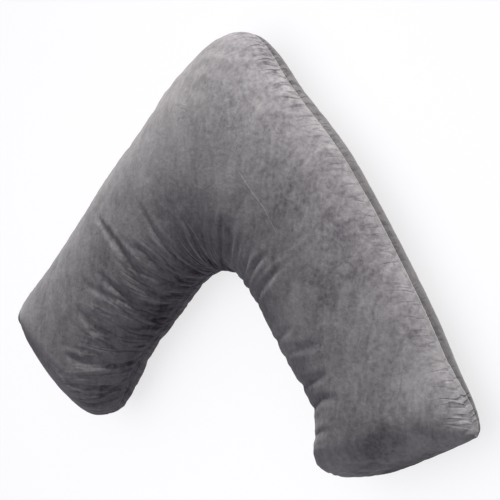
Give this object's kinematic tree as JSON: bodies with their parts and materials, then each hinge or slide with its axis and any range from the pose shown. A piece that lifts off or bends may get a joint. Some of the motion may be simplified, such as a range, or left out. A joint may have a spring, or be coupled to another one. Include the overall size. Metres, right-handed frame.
{
  "type": "v-shaped pillow",
  "caption": "V-shaped support pillow with two filled legs that meet at a rounded apex, in short-pile fabric with a plain edge seam.",
  "frame": {"origin": "centre of the bounding box in plan, on the surface that the pillow lies on", "axes": "+Z out of the front panel, +Y towards the apex of the V, +X towards the right leg as seen from the front with the apex up"},
  "size_m": [0.9692, 0.6538, 0.1693],
  "materials": {
    "velour": "short crushed pile, matt with a soft sheen"
  },
  "bodies": {
    "root": {"pillow": "velour"}
  },
  "joints": []
}
